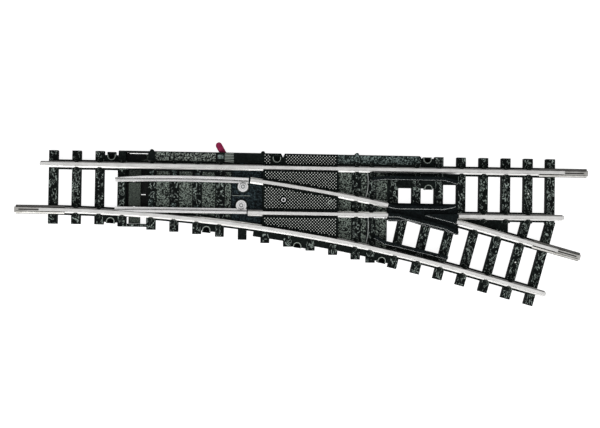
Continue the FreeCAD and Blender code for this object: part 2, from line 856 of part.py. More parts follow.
def web_strips():
    """Strips under the rails that tie the sleepers together."""
    section = rectangle(web_half_width, web_bottom, web_top)
    upper = shifted(section, rail_offset)
    lower = shifted(section, -rail_offset)
    return [
        sweep(upper, straight_route, toe_sleepers[0], heel_sleepers[-1]),
        sweep(lower, branch_route, toe_sleepers[0], branch_sleepers[-1]),
        sweep(lower, straight_route, frog_end, heel_sleepers[-1]),
        sweep(upper, branch_route, frog_end + 0.6, branch_sleepers[-1]),
    ]


def deck(start, end, top):
    """Plate between the outer rails of both routes."""
    strip = block(start, end, -20, rail_offset, 0, top)
    inside = [(-rail_offset, 0), (30, 0), (30, top), (-rail_offset, top)]
    return strip.common(sweep(inside, branch_route, 0.1, arc_length))


def blade_pads():
    """Low slide pads on the sleepers under the blades, and round pads under the heel eyelets."""
    top = blade_bottom - 0.02
    pads = [post(pivot, eyelet_radius + 0.25, 1, top) for pivot in (straight_blade_pivot, curved_blade_pivot)]
    for x in points_sleepers[:4]:
        sweep_width = (straight_blade_pivot.x - x) * bar_travel / (straight_blade_pivot.x - bar_centre) + 0.9
        stock = branch_route(branch_distance(x, -rail_offset), -rail_offset).y
        low = max(-rail_offset - 0.2, stock + 0.95)
        pads.append(block(x - 0.6, x + 0.6, low, low + sweep_width, 1, top))
        closed = branch_route(branch_distance(x, rail_offset), rail_offset).y
        high = min(rail_offset - 0.95, closed + 0.2)
        pads.append(block(x - 0.6, x + 0.6, high - sweep_width, high, 1, top))
    return pads


def platform():
    """Side platform with the grip notches, cable cup and edge pips on its outer edge."""
    high = block(platform_start, platform_step, platform_inner_edge, platform_edge, 0, platform_top)
    low = block(platform_step, platform_end, platform_inner_edge, platform_edge, 0, platform_low_top)
    ledge = block(platform_start, platform_end, rail_offset, platform_inner_edge, 0, web_top)
    knurled = block(knurled_start, platform_step, rail_offset, platform_inner_edge, 0, platform_top)
    pips = [post(Vector(x, platform_edge, 0), pip_radius, 0, platform_top) for x in high_pips]
    pips += [post(Vector(x, platform_edge, 0), pip_radius, 0, platform_low_top) for x in low_pips]
    solid = high.multiFuse([low, ledge, knurled] + pips)
    pocket = u_shape(cable_cup, Vector(0, 1, 0), cable_cup_radius, 0.45, cable_cup_floor, 3)
    left, right = notch_centre - notch_half_width, notch_centre + notch_half_width
    outside = platform_edge + 1
    notch = [(left, outside), (right, outside), (right, platform_edge),
             (notch_centre, platform_edge - notch_depth), (left, platform_edge)]
    return solid.cut(pocket).cut(prism(notch, -1, 4))


def plinth():
    """Ledge outside the curved stock rail beside the knurled deck."""
    outer = -rail_offset - 2.1
    section = [(outer, 0), (-rail_offset, 0), (-rail_offset, web_top), (outer, web_top)]
    return sweep(section, branch_route, 46.5, 72.5)


def u_shape(centre, outward, radius, reach, bottom, top):
    """Half-round upright whose flat end lies a given reach beyond the round's centre."""
    across = Vector(-outward.y, outward.x, 0) * radius
    end = centre + outward * reach
    back = centre - outward * radius * 2
    straight = [centre - across, end - across, end + across, centre + across]
    keep = [back - across * 2, end - across * 2, end + across * 2, back + across * 2]
    body = post(centre, radius, bottom, top).fuse(prism([(c.x, c.y) for c in straight], bottom, top))
    return body.common(prism([(c.x, c.y) for c in keep], bottom, top))


def nail_cups():
    """Every nail cup as its round's centre, the direction it faces and its reach."""
    cups = [(centre, Vector(0, 1, 0), reach) for centre, reach in upper_nail_cups]
    for centre, reach in lower_nail_cups:
        inward = centre - Vector(0, -curve_radius, 0)
        cups.append((centre, inward.normalize() * -1, reach))
    return cups


def cup_solids(centre, outward, reach):
    """A nail cup's body, and the web that ties it to the rail's web and the sleepers on both sides."""
    across = Vector(-outward.y, outward.x, 0) * web_tie_half_length
    near = centre - outward * 1.6
    far = centre + outward * 0.2
    web = [near - across, far - across, far + across, near + across]
    return [
        u_shape(centre, outward, cup_radius, reach, 0, cup_top),
        prism([(c.x, c.y) for c in web], 0, web_top),
    ]


def cup_pocket(centre, outward, reach):
    return u_shape(centre, outward, cup_radius - cup_wall, reach - cup_wall, cup_floor, 5)


def nail_hole(centre, outward):
    return post(centre - outward * nail_inset, nail_radius, -1, cup_floor + 0.1)


def mould_pips():
    """Small round marks on the last sleeper but one of each route."""
    places = [Vector(heel_sleepers[-2], 0.25, 0), branch_route(branch_sleepers[-2], 0)]
    return [post(place, mould_pip_radius, 1, mould_pip_top) for place in places]


def frog_floor():
    """Plate under the frog, the strip beside the straight check rail and the wedge between the frog rails."""
    floor = prism(frog_outline(), 0.4, frog_seat)
    deck_edge = block(stone_end - 0.1, heel_sleepers[1], -2.3, rail_offset, 0.4, stone_deck_top)
    check_strip = block(check_start, 86.0, 1.05, rail_offset, 0.4, stone_deck_top)
    edge = block(86.0, 89.8, 1.9, rail_offset, 0.4, stone_deck_top)
    strip = [(-rail_offset, 0.4), (-2.7, 0.4), (-2.7, stone_deck_top), (-rail_offset, stone_deck_top)]
    branch_strip = sweep(strip, branch_route, 73.0, branch_sleepers[2])
    low = branch_route(101.0, rail_offset).y
    corners = [(frog_end, -rail_offset), (100.8, -rail_offset), (100.8, low - 0.5), (frog_end, -6.6)]
    wedge = prism(corners, 0.4, web_top)
    centre, reach = blind_cup
    cup = u_shape(centre, Vector(0, -1, 0), cup_radius, reach, 0.4, cup_top)
    return [floor, deck_edge, check_strip, edge, branch_strip, wedge, cup]


def chair(route, distance, rail_side, chair_side):
    """Lump that holds a rail's foot down on a sleeper."""
    centre = route(distance, rail_side * rail_offset + chair_side * chair_offset)
    return post(centre, chair_radius, 1.0, chair_top)


def chairs():
    lumps = []
    for x in toe_sleepers[1:3] + heel_sleepers[:-1]:
        lumps += [chair(straight_route, x, 1, side) for side in (1, -1)]
    for x in [toe_sleepers[3]] + points_sleepers[:4]:
        lumps.append(chair(straight_route, x, 1, 1))
        lumps.append(chair(branch_route, branch_distance(x, -rail_offset), -1, -1))
    for x in toe_sleepers[1:3] + points_sleepers[-1:] + heel_sleepers[:1]:
        lumps += [chair(branch_route, branch_distance(x, -rail_offset), -1, side) for side in (1, -1)]
    for x in points_sleepers[-1:] + heel_sleepers[:1]:
        lumps += [chair(straight_route, x, -1, side) for side in (1, -1)]
        lumps += [chair(branch_route, branch_distance(x, rail_offset), 1, side) for side in (1, -1)]
    lumps += [chair(straight_route, points_sleepers[-1], 1, side) for side in (1, -1)]
    for distance in branch_sleepers[:-1]:
        lumps.append(chair(branch_route, distance, -1, -1))
        if distance > branch_sleepers[2]:
            lumps.append(chair(branch_route, distance, -1, 1))
            lumps.append(chair(branch_route, distance, 1, -1))
    lumps.append(chair(branch_route, branch_sleepers[-2], 1, 1))
    for x in heel_sleepers[5:-1]:
        lumps += [chair(straight_route, x, -1, side) for side in (1, -1)]
    return lumps


def mechanism_cavities():
    """Hollows for the throw bar, bell crank, wire, lever and bottom cover."""
    half = bar_width / 2 + 0.1
    bar_tunnel_top = bar_bottom + bar_thickness + 0.1
    inner = crank_pivot.y - 1.6
    spring_end = spring_half_length + running_gap
    spring_back = spring_face - spring_thickness - 0.02
    window = lever_window_half_width
    return [
        block(opening_start, opening_end, opening_low, opening_high, -1, 5),
        block(bar_centre - half, bar_centre + half, frame_hole[3] - 1, 5, -1, bar_tunnel_top),
        block(opening_start, opening_end, platform_inner_edge, cavity_outer_wall, -1, 5),
        block(opening_start, crank_pivot.x + 1.0, inner, cavity_outer_wall, -1, tunnel_top),
        block(opening_end, cavity_end, platform_inner_edge, cavity_outer_wall, -1, cavity_top),
        block(crank_pivot.x, cavity_end, 5.0, cavity_outer_wall, -1, tunnel_top),
        block(lever_pivot.x - spring_end, lever_pivot.x + spring_end,
              spring_back, spring_face + 0.02, -1, tunnel_top),
        block(lever_pivot.x - window, lever_pivot.x + window, 7, 9, lever_bottom - 0.1, lever_top + 0.1),
        block(frame_hole[0], frame_hole[1], frame_hole[2], frame_hole[3], -1, 5),
        prism(cover_outline(0), -1, cover_thickness),
    ]


def fastener_holes():
    """Holes for pins, rivets, screws, nails and the contact strips."""
    holes = [cup_pocket(*cup) for cup in nail_cups()]
    holes += [nail_hole(centre, outward) for centre, outward, _ in nail_cups()]
    centre, reach = blind_cup
    holes.append(cup_pocket(centre, Vector(0, -1, 0), reach))
    holes += [post(pivot, rivet_radius, 0, 3) for pivot in (straight_blade_pivot, curved_blade_pivot)]
    for place in cover_screw_places:
        holes.append(post(place, cover_screw_radius + 0.02, 0, cover_screw_tip + 0.05))
    holes.append(post(lever_pivot, lever_pin_radius, 0, pin_top))
    holes.append(post(crank_pivot, crank_pin_radius, 0, pin_top))
    holes.append(post(deck_screw_place, deck_screw_radius + 0.02, deck_screw_tip - 0.1, 4))
    holes.append(post(deck_screw_place, deck_screw_head + running_gap, knurled_top - 0.1, 4))
    holes.append(contact_blank(straight_blade_pivot, -1, -1, 0.03))
    holes.append(contact_blank(curved_blade_pivot, 1, -1, 0.03))
    return holes


def make_tie_base():
    """Black moulding: sleepers, webs, decks, platform and chairs in one piece."""
    solids = [straight_sleeper(x) for x in toe_sleepers + points_sleepers + heel_sleepers]
    solids += [branch_sleeper(distance) for distance in branch_sleepers]
    solids += web_strips()
    solids += [
        deck(toe_plate_start, heel_deck_start, blade_deck_top),
        deck(heel_deck_start, knurled_start, sleeper_top),
        deck(knurled_start, knurled_end, knurled_top),
        deck(knurled_end, stone_end, stone_deck_top),
        block(*frame_outline, 0, sleeper_top),
        platform(),
        plinth(),
    ]
    solids += blade_pads()
    for cup in nail_cups():
        solids += cup_solids(*cup)
    solids += frog_floor()
    solids += mould_pips()
    solids += chairs()
    base = solids[0].multiFuse(solids[1:])
    rooms = [rail(*run, channel_section()) for run in long_channels()]
    rooms += [joiner_room(*place) for place in joiner_places.values()]
    rooms.append(prism(frog_outline(), frog_seat, 5))
    rooms += [make_check_rail(straight_check_line()), make_check_rail(branch_check_line())]
    rooms += mechanism_cavities()
    rooms += fastener_holes()
    for room in rooms:
        base = base.cut(room)
    return base.removeSplitter()


def long_channels():
    """Rail runs with their channels run on past the deck's ends."""
    runs = []
    for node, (route, side, start, end) in rail_runs.items():
        if start == closure_start:
            start = heel_deck_start + 2.9
        runs.append((route, side, start - 0.05 if start else -1.0, end + 0.5))
    return runs


def export(node, shape):
    shape.exportStep(f"parts/{node}.step")


def main():
    os.makedirs("parts", exist_ok=True)
    export("tie_base", make_tie_base())
    for node in rail_runs:
        export(node, make_rail(node))
    for node, place in joiner_places.items():
        export(node, joiner(*place))
    export("straight_blade", make_straight_blade())
    export("curved_blade", make_curved_blade())
    export("straight_heel_rivet", make_heel_rivet(straight_blade_pivot))
    export("curved_heel_rivet", make_heel_rivet(curved_blade_pivot))
    export("straight_drive_stud", make_drive_stud(straight_stud))
    export("curved_drive_stud", make_drive_stud(curved_stud))
    export("throw_bar", make_throw_bar())
    export("throw_bar_pin", make_throw_bar_pin())
    export("bell_crank", make_bell_crank())
    export("bell_crank_pin", make_pivot_pin(crank_pivot, crank_pin_radius))
    export("pull_wire", make_pull_wire())
    export("hand_lever", make_hand_lever())
    export("lever_pivot_pin", make_pivot_pin(lever_pivot, lever_pin_radius))
    export("detent_spring", make_detent_spring())
    export("bottom_cover", make_bottom_cover())
    export("cover_screws", make_cover_screws())
    export("deck_screw", make_deck_screw())
    export("straight_heel_contact", make_heel_contact(straight_blade_pivot, -1))
    export("curved_heel_contact", make_heel_contact(curved_blade_pivot, 1))
    export("straight_jumper_wire", make_jumper(1, 1, 70.05, (70.2, 1.9), 69.75))
    export("curved_jumper_wire", make_jumper(-1, -1, 70.3, (70.35, -8.1), 69.9))
    export("frog_insert", make_frog_insert())
    export("straight_check_rail", make_check_rail(straight_check_line()))
    export("diverging_check_rail", make_check_rail(branch_check_line()))


main()
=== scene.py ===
import json
import math

import bmesh
import bpy
import numpy as np
from mathutils import Matrix, Vector
from mathutils.bvhtree import BVHTree


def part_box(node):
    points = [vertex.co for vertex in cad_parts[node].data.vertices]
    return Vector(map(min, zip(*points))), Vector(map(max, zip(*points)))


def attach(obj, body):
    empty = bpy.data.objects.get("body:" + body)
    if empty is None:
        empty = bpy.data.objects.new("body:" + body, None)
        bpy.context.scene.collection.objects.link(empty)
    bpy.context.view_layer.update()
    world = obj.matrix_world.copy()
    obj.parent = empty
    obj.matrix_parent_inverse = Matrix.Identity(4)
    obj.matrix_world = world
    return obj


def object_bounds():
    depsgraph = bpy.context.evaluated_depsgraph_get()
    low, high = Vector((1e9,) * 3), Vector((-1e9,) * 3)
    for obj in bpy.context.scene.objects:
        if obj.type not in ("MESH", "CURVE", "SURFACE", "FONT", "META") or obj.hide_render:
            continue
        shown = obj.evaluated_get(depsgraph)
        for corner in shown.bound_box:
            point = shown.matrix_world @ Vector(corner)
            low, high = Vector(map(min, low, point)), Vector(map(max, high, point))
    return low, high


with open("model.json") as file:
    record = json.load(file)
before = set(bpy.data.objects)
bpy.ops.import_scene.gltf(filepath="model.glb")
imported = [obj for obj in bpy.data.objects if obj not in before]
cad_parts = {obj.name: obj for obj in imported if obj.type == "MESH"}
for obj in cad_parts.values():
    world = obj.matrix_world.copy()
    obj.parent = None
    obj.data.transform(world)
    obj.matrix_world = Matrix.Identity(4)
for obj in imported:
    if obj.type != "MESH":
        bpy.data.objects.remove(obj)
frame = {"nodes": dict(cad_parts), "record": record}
CAD_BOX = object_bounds()
NODES = frame["nodes"]

MM = 0.001
UP = Vector((0, 0, 1))
BRANCH_RADIUS = 362.6 * MM
BRANCH_ANGLE = math.radians(15)
STRAIGHT_RAIL_Y = sum(corner.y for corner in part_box("straight_closure_rail")) / 2

# Heights of the moulding's flat tops; the height tells which texture a top carries
BALLAST_TOP = 1.8 * MM
STONE_TOP = 1.9 * MM
SLEEPER_TOP = 2.0 * MM
PIP_TOP = 2.12 * MM
LOW_PLATFORM_TOP = 2.3 * MM
CHAIR_TOP = 2.5 * MM
PLATFORM_TOP = 2.6 * MM
KNURLED_TOP = 2.95 * MM
NO_TOP = -1.0
LEVEL_TOLERANCE = 0.01 * MM
SHEET_STEP = 0.1 * MM

# Stretches along X over which the platform and the decks carry one texture
HEEL_DECK = (40.8 * MM, 47.5 * MM)
KNURLED_DECK = (HEEL_DECK[1], 63.7 * MM)
PLATFORM_GRAIN = (24.3 * MM, 37.4 * MM)
PLATFORM_KNURL = ((47.7 * MM, 49.1 * MM), (52.3 * MM, 63.4 * MM))
HEEL_SKIN_EDGE_Y = -7.4 * MM
BRANCH_SLEEPERS_FROM = 76.5 * MM
KNURL_PITCH = 0.66 * MM

# Cups without a nail hole: the middle of the rounded part, and the direction in which the cup opens
CUP_RIM_RADIUS = 0.8 * MM
BLIND_CUPS = [
    (Vector((83.3 * MM, 1.0 * MM, 0)), Vector((0, -1, 0))),
    (Vector((50.4 * MM, 6.9 * MM, 0)), Vector((0, 1, 0))),
]


# ---------------------------------------------------------------- materials

class Shader:
    """A principled material with short calls for the nodes that the materials here share."""

    def __init__(self, name):
        self.material = bpy.data.materials.new(name)
        self.material.use_nodes = True
        self.tree = self.material.node_tree
        self.surface = self.tree.nodes["Principled BSDF"]
        self.place = self.tree.nodes.new("ShaderNodeTexCoord").outputs["Object"]

    def link(self, source, target):
        self.tree.links.new(source, target)

    def set(self, **values):
        for key, value in values.items():
            target = self.surface.inputs[key.replace("_", " ")]
            if hasattr(value, "is_output"):
                self.link(value, target)
            else:
                target.default_value = value

    def stretched(self, scale):
        mapping = self.tree.nodes.new("ShaderNodeMapping")
        mapping.inputs["Scale"].default_value = scale
        self.link(self.place, mapping.inputs["Vector"])
        return mapping.outputs["Vector"]

    def noise(self, size, detail=3.0, stretch=(1, 1, 1), distortion=0.0):
        node = self.tree.nodes.new("ShaderNodeTexNoise")
        node.inputs["Scale"].default_value = 1 / size
        node.inputs["Detail"].default_value = detail
        node.inputs["Distortion"].default_value = distortion
        self.link(self.stretched(stretch), node.inputs["Vector"])
        return node.outputs["Fac"]

    def ramp(self, value, low, high, first, last):
        node = self.tree.nodes.new("ShaderNodeMapRange")
        node.inputs["From Min"].default_value = low
        node.inputs["From Max"].default_value = high
        node.inputs["To Min"].default_value = first
        node.inputs["To Max"].default_value = last
        self.link(value, node.inputs["Value"])
        return node.outputs["Result"]

    def blend(self, share, first, last):
        node = self.tree.nodes.new("ShaderNodeMix")
        node.data_type = "RGBA"
        self.link(share, node.inputs["Factor"])
        for key, value in (("A", first), ("B", last)):
            target = [i for i in node.inputs if i.name == key and i.type == "RGBA"][0]
            if hasattr(value, "is_output"):
                self.link(value, target)
            else:
                target.default_value = (*value, 1)
        return [o for o in node.outputs if o.type == "RGBA"][0]

    def product(self, first, second):
        node = self.tree.nodes.new("ShaderNodeMath")
        node.operation = "MULTIPLY"
        self.link(first, node.inputs[0])
        self.link(second, node.inputs[1])
        return node.outputs["Value"]

    def attribute(self, name):
        node = self.tree.nodes.new("ShaderNodeAttribute")
        node.attribute_name = name
        return node.outputs["Fac"]

    def crevice(self, reach):
        """0 deep in a corner, 1 in the open."""
        node = self.tree.nodes.new("ShaderNodeAmbientOcclusion")
        node.samples = 8
        node.inputs["Distance"].default_value = reach
        return self.ramp(node.outputs["AO"], 0.25, 0.75, 0.0, 1.0)

    def lit_edge_mask(self, radius):
        """1 along edges that face the -Y side, 0 elsewhere: the mask of a painted highlight where light
        from the -Y side catches the edges.
        """
        rounded = self.rounded_edges(radius)
        flat = self.tree.nodes.new("ShaderNodeNewGeometry").outputs["True Normal"]
        turned = self.tree.nodes.new("ShaderNodeVectorMath")
        turned.operation = "SUBTRACT"
        self.link(rounded, turned.inputs[0])
        self.link(flat, turned.inputs[1])
        parts = self.tree.nodes.new("ShaderNodeSeparateXYZ")
        self.link(turned.outputs["Vector"], parts.inputs["Vector"])
        return self.ramp(parts.outputs["Y"], -0.1, -0.35, 0.0, 1.0)

    def rounded_edges(self, radius):
        node = self.tree.nodes.new("ShaderNodeBevel")
        node.samples = 4
        node.inputs["Radius"].default_value = radius
        return node.outputs["Normal"]

    def bump(self, height, depth, edge_radius=0.0):
        node = self.tree.nodes.new("ShaderNodeBump")
        node.inputs["Distance"].default_value = depth
        self.link(height, node.inputs["Height"])
        if edge_radius:
            self.link(self.rounded_edges(edge_radius), node.inputs["Normal"])
        self.link(node.outputs["Normal"], self.surface.inputs["Normal"])
        return self


def metal(name, colour, dull, roughness, streak=(0.02, 1, 1), shadow=(0.35 * MM, 0.0, 1.0)):
    """Rolled metal: fine streaks along its length, patches of tarnish, softened edges, painted shade in
    crevices.

    The shadow is how near another surface has to be, and the openness of full dark and of full light.
    """
    s = Shader(name)
    tarnish = s.noise(1.6 * MM, 4.0)
    lines = s.noise(0.12 * MM, 2.0, streak)
    mixed = s.blend(s.ramp(tarnish, 0.35, 0.75, 0.0, 1.0), colour, dull)
    mixed = s.blend(s.ramp(lines, 0.35, 0.7, 0.0, 0.5), mixed, dull)
    reach, closed, open_sky = shadow
    # painted shade: the colour goes towards near black where another surface is close
    openness = s.ramp(s.crevice(reach), closed, open_sky, 0.0, 1.0)
    mixed = s.blend(openness, (0.03, 0.03, 0.028), mixed)
    s.set(Base_Color=mixed, Metallic=1.0)
    s.set(Roughness=s.ramp(lines, 0.3, 0.7, roughness - 0.06, roughness + 0.1))
    return s.bump(lines, 0.004 * MM, 0.05 * MM).material


def moulded(name, dark, light, roughness, grain_size=0.35 * MM, depth=0.02 * MM, edge=(0.05, 0.06, 0.055)):
    """Moulded plastic with a faint sparkle of grain, slightly lighter patches and a painted highlight
    along the edges that face the -Y side.
    """
    s = Shader(name)
    grain = s.noise(grain_size, 4.0)
    patches = s.noise(4.0 * MM, 3.0)
    colour = s.blend(s.ramp(grain, 0.45, 0.72, 0.0, 1.0), dark, light)
    colour = s.blend(s.ramp(patches, 0.3, 0.8, 0.0, 0.3), colour, light)
    # painted highlight: edges facing the -Y side take the edge colour
    colour = s.blend(s.lit_edge_mask(0.1 * MM), colour, edge)
    s.set(Base_Color=colour, Roughness=s.ramp(patches, 0.3, 0.7, roughness - 0.07, roughness + 0.08))
    s.set(Specular_IOR_Level=0.04)
    return s.bump(grain, depth, 0.06 * MM).material


def relief_plastic(name, dark, crest, roughness, speckled=True, highlight_span=(0.2, 0.8)):
    """The moulding's textured tops, lighter on the upper part of their height: a painted highlight on the
    crests.
    """
    s = Shader(name)
    share = s.ramp(s.attribute("crest"), *highlight_span, 0.0, 1.0)
    grain = s.noise(0.18 * MM, 3.0)
    if speckled:
        specks = s.noise(0.2 * MM, 2.0, distortion=0.6)
        share = s.product(share, s.ramp(specks, 0.44, 0.56, 0.2, 1.0))
    # painted highlight: the upper part of each bump takes the crest colour
    s.set(Base_Color=s.blend(share, dark, crest))
    s.set(Roughness=s.ramp(grain, 0.3, 0.7, roughness - 0.1, roughness + 0.1))
    s.set(Specular_IOR_Level=0.05)
    return s.bump(grain, 0.015 * MM).material


def make_materials():
    black = (0.003, 0.0045, 0.004)
    made = [
        moulded("sleeper_plastic", black, (0.013, 0.018, 0.016), 0.55),
        moulded(
            "frog_plastic", (0.002, 0.003, 0.003), (0.012, 0.018, 0.019), 0.4,
            grain_size=0.4 * MM, edge=(0.85, 0.88, 0.86),
        ),
        metal("rail_metal", (0.9, 0.895, 0.865), (0.68, 0.675, 0.65), 0.3),
        metal("blade_metal", (0.96, 0.955, 0.94), (0.8, 0.795, 0.78), 0.25, shadow=(1.2 * MM, 0.5, 0.85)),
        metal("joiner_metal", (0.62, 0.61, 0.58), (0.38, 0.37, 0.34), 0.18),
        metal("steel", (0.95, 0.95, 0.94), (0.7, 0.7, 0.7), 0.25, streak=(1, 1, 1)),
        metal(
            "turned_steel", (1.0, 1.0, 0.99), (0.9, 0.9, 0.9), 0.5,
            streak=(1, 1, 1), shadow=(0.1 * MM, 0.0, 1.0),
        ),
        metal("contact_brass", (0.75, 0.58, 0.3), (0.45, 0.32, 0.15), 0.35),
        metal("tinned_wire", (0.5, 0.52, 0.5), (0.25, 0.26, 0.25), 0.45),
        moulded("bar_plastic", (0.02, 0.025, 0.021), (0.14, 0.165, 0.14), 0.5, grain_size=0.22 * MM),
        moulded(
            "lever_plastic", (0.2, 0.012, 0.05), (0.34, 0.03, 0.09), 0.35,
            grain_size=0.5 * MM, depth=0.006 * MM, edge=(0.1, 0.02, 0.04),
        ),
        moulded("cover_plastic", (0.01, 0.011, 0.011), (0.03, 0.032, 0.031), 0.55),
        moulded("seam_shadow", (0.002, 0.002, 0.002), (0.006, 0.006, 0.006), 0.8),
        # the crest colours of these relief materials are painted highlights on lit crests
        relief_plastic("wood_relief", black, (0.34, 0.4, 0.36), 0.5),
        relief_plastic("ballast_relief", (0.004, 0.006, 0.005), (0.28, 0.33, 0.285), 0.5),
        relief_plastic("platform_relief", black, (0.38, 0.43, 0.38), 0.5),
        relief_plastic("knurl_relief", black, (0.88, 0.91, 0.85), 0.45, speckled=False, highlight_span=(0.78, 0.97)),
        relief_plastic("rim_plastic", (0.03, 0.036, 0.03), (0.34, 0.38, 0.34), 0.45, speckled=False),
        relief_plastic("smooth_relief", (0.004, 0.008, 0.007), (0.26, 0.33, 0.31), 0.5),
        relief_plastic("recess_relief", (0.003, 0.005, 0.006), (0.045, 0.07, 0.078), 0.5),
    ]
    # a name that the CAD objects already use gets a number after a dot
    return {material.name.split(".")[0]: material for material in made}


MATERIALS = make_materials()

# Pins that have dulled to the colour of what surrounds them
DULLED = {
    "throw_bar_pin": "bar_plastic",
    "straight_drive_stud": "blade_metal",
    "curved_drive_stud": "blade_metal",
}


def paint_cad_nodes():
    slots = {row["node"]: row["material_slot"] for row in frame["record"]["subparts"]}
    for name, node in NODES.items():
        node.data.materials.clear()
        node.data.materials.append(MATERIALS[DULLED.get(name, slots[name])])


def add_piece(name, mesh, material):
    """Piece on the base: all the added detail is on parts that stand still."""
    piece = bpy.data.objects.new(name, mesh)
    bpy.context.scene.collection.objects.link(piece)
    mesh.materials.append(MATERIALS[material])
    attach(piece, "base")


# ---------------------------------------------------------------- textured tops

def lattice_noise(x, y, seed):
    """Smooth value noise in -1..1 with cells one unit wide, the same on every run."""
    def corner(i, j):
        # large unrelated factors, so that neighbouring corners get unrelated values
        wave = np.sin(i * 127.1 + j * 311.7 + seed * 74.7) * 43758.5453
        return (wave - np.floor(wave)) * 2 - 1

    def smooth(share):
        return share * share * (3 - 2 * share)

    xi, yi = np.floor(x), np.floor(y)
    fx, fy = smooth(x - xi), smooth(y - yi)
    low = corner(xi, yi) * (1 - fx) + corner(xi + 1, yi) * fx
    high = corner(xi, yi + 1) * (1 - fx) + corner(xi + 1, yi + 1) * fx
    return low * (1 - fy) + high * fy


def wood_grain(x, y):
    """Short wavy ridges that cross and curl along each sleeper; 0 in the valleys, 1 on the crests."""
    ridge_pitch = 0.6
    slant = 0.35
    slanted = (x > BRANCH_SLEEPERS_FROM) & (y < STRAIGHT_RAIL_Y - 1.0 * MM)
    branch_heading = np.arcsin(np.clip(x / BRANCH_RADIUS, 0, math.sin(BRANCH_ANGLE)))
    heading = np.where(slanted, branch_heading, 0.0)
    along = (y * np.cos(heading) + x * np.sin(heading)) / MM
    across = (x * np.cos(heading) - y * np.sin(heading)) / MM
    bend = lattice_noise(along * 1.1, across * 1.2, 1) * 1.3
    curl = lattice_noise(along * 2.3, across * 2.6, 2) * 0.5
    ridges = np.sin(2 * math.pi * (across / ridge_pitch + along * slant + (bend + curl)))
    breaks = lattice_noise(along * 2.2, across * 2.6, 3)
    return np.clip(ridges * 1.8 - 0.1, 0, 1) * np.clip(breaks * 2.2 + 0.8, 0, 1)


def grit(x, y, size, seed, share):
    """Close sharp-edged grit; a larger share gives more and wider grains."""
    coarse = lattice_noise(x / size, y / size, seed)
    fine = lattice_noise(x / size * 1.9, y / size * 1.9, seed + 20)
    return np.clip((coarse + 0.6 * fine) * 2.2 + share * 2 - 0.7, 0, 1)


def ballast_grain(x, y):
    return grit(x, y, 0.15 * MM, 5, 0.7)


def stone_grain(x, y):
    return grit(x, y, 0.18 * MM, 7, 0.62)


def smooth_grain(x, y):
    return grit(x, y, 0.18 * MM, 9, 0.5)


def top_finder():
    """Function from (x, y) to the height of the moulding's top there, or NO_TOP where none is level."""
    base = NODES["tie_base"].data
    tree = BVHTree.FromPolygons([v.co for v in base.vertices], [p.vertices for p in base.polygons])
    above = CAD_BOX[1].z + 1 * MM

    def top(x, y):
        hit, normal, _, _ = tree.ray_cast(Vector((x, y, above)), -UP)
        if hit is None or normal.z < 0.99:
            return NO_TOP
        return hit.z
    return top


TOP = top_finder()


def sample_tops(step):
    """Grid of x, y and moulding heights over the whole plan, kept off the moulding's own edges."""
    low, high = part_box("tie_base")
    margin = step / 3
    xs = np.arange(low.x + margin, high.x, step)
    ys = np.arange(low.y + margin, high.y, step)
    grid_x, grid_y = np.meshgrid(xs, ys, indexing="ij")
    tops = np.array([[TOP(x, y) for y in ys] for x in xs])
    return grid_x, grid_y, tops


def store_crest(mesh, values):
    """How much painted crest highlight each point gets, for the material to read."""
    data = mesh.attributes.new("crest", "FLOAT", "POINT").data
    data.foreach_set("value", np.asarray(values, dtype=np.float32))


def relief(name, inside, level, height, grain, grid, material):
    """Sheet of grain over the flat tops that `inside` marks; its border dips just under the surface."""
    lift = 0.004 * MM
    sink = 0.01 * MM
    grid_x, grid_y = grid
    full = inside[:-1, :-1] & inside[1:, :-1] & inside[:-1, 1:] & inside[1:, 1:]
    used = np.zeros(inside.shape, int)
    for di in (0, 1):
        for dj in (0, 1):
            used[di:used.shape[0] - 1 + di, dj:used.shape[1] - 1 + dj] += full
    crest = grain(grid_x, grid_y)
    interior = used == 4
    z = np.where(interior, level + lift + crest * height, level - sink)
    crest = np.where(interior, crest, 0.0)
    index = np.full(inside.shape, -1)
    index[used > 0] = np.arange((used > 0).sum())
    points = np.stack([grid_x[used > 0], grid_y[used > 0], z[used > 0]], axis=1)
    i, j = np.nonzero(full)
    faces = np.stack([index[i, j], index[i + 1, j], index[i + 1, j + 1], index[i, j + 1]], axis=1)
    mesh = bpy.data.meshes.new(name)
    mesh.from_pydata(points.tolist(), [], faces.tolist())
    store_crest(mesh, crest[used > 0])
    mesh.polygons.foreach_set("use_smooth", [True] * len(faces))
    add_piece(name, mesh, material)


def at_level(heights, level):
    return np.abs(heights - level) < LEVEL_TOLERANCE


def between(values, span):
    return (values > span[0]) & (values < span[1])


def textured_tops():
    """Grain on every flat top that has some; gives the grid and the heights for the details to use."""
    grid_x, grid_y, tops = sample_tops(SHEET_STEP)
    grid = (grid_x, grid_y)
    sleepers = at_level(tops, SLEEPER_TOP)
    on_heel_deck = between(grid_x, HEEL_DECK)
    wood = sleepers & ~on_heel_deck
    heel = sleepers & on_heel_deck & (grid_y > HEEL_SKIN_EDGE_Y)
    ballast = at_level(tops, BALLAST_TOP)
    stone = at_level(tops, STONE_TOP) & (grid_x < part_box("frog_insert")[0].x)
    rough = at_level(tops, PLATFORM_TOP) & between(grid_x, PLATFORM_GRAIN)
    smooth = at_level(tops, LOW_PLATFORM_TOP)
    for name, inside, level, height, grain, material in (
        ("sleeper_grain", wood, SLEEPER_TOP, 0.09 * MM, wood_grain, "wood_relief"),
        ("heel_skin", heel, SLEEPER_TOP, 0.04 * MM, smooth_grain, "recess_relief"),
        ("blade_deck_grit", ballast, BALLAST_TOP, 0.09 * MM, ballast_grain, "ballast_relief"),
        ("stone_deck_grit", stone, STONE_TOP, 0.12 * MM, stone_grain, "ballast_relief"),
        ("platform_grit", rough, PLATFORM_TOP, 0.14 * MM, stone_grain, "platform_relief"),
        ("platform_skin", smooth, LOW_PLATFORM_TOP, 0.05 * MM, smooth_grain, "smooth_relief"),
    ):
        relief(name, inside, level, height, grain, grid, material)
    return grid, tops


